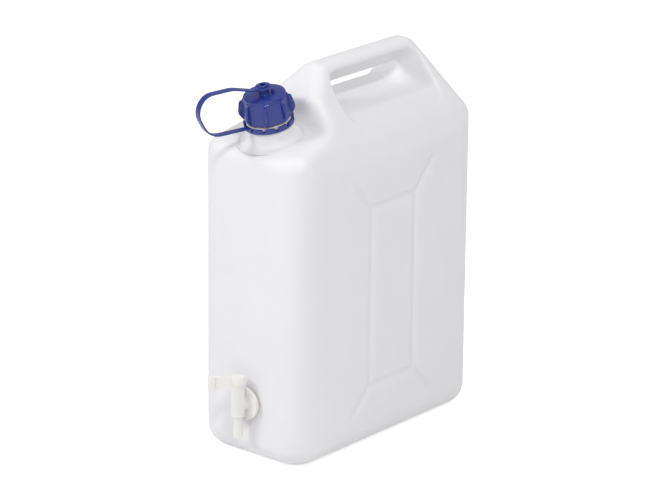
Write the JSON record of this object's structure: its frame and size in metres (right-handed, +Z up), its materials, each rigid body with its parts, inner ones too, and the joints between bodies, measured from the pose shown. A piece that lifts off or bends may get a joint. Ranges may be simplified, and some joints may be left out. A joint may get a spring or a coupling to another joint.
{
  "type": "carboy with spigot",
  "caption": "Translucent polyethylene carboy with a moulded carrying grip, a tethered blue screw cap and a draining tap low on one end.",
  "frame": {"origin": "middle of the flat base, at the plane it stands on", "axes": "+Z up, -Y out of the end that carries the tap, X across the narrow width"},
  "size_m": [0.132, 0.3182, 0.3734],
  "materials": {
    "natural_polyethylene": "satin",
    "blue_plastic": "semi gloss",
    "tap_plastic": "satin",
    "liner_foam": "matte",
    "gasket_rubber": "matte"
  },
  "bodies": {
    "canister": {"canister_body": "natural_polyethylene", "tether": "blue_plastic", "tap_gasket": "gasket_rubber", "tap_body": "tap_plastic"},
    "liner": {"cap_liner": "liner_foam"},
    "cap": {"cap": "blue_plastic"},
    "plug": {"tap_plug": "tap_plastic"}
  },
  "joints": [
    {"name": "cap_lift", "type": "slide", "parent": "canister", "child": "liner", "axis": [0, -0.2419, 0.9703], "range_m": [0, 0.0136], "deforming": ["tether"]},
    {"name": "cap_turn", "type": "hinge", "parent": "liner", "child": "cap", "pos_m": [0, -0.1118, 0.3588], "axis": [0, -0.2419, 0.9703], "range_deg": [0, 1080]},
    {"name": "tap_turn", "type": "hinge", "parent": "canister", "child": "plug", "pos_m": [0, -0.1475, 0.0576], "axis": [0, 0, 1], "range_deg": [0, 90]}
  ],
  "couplings": [
    {"joint": "cap_lift", "follows": "cap_turn", "m_per_rad": 0.0007162}
  ]
}
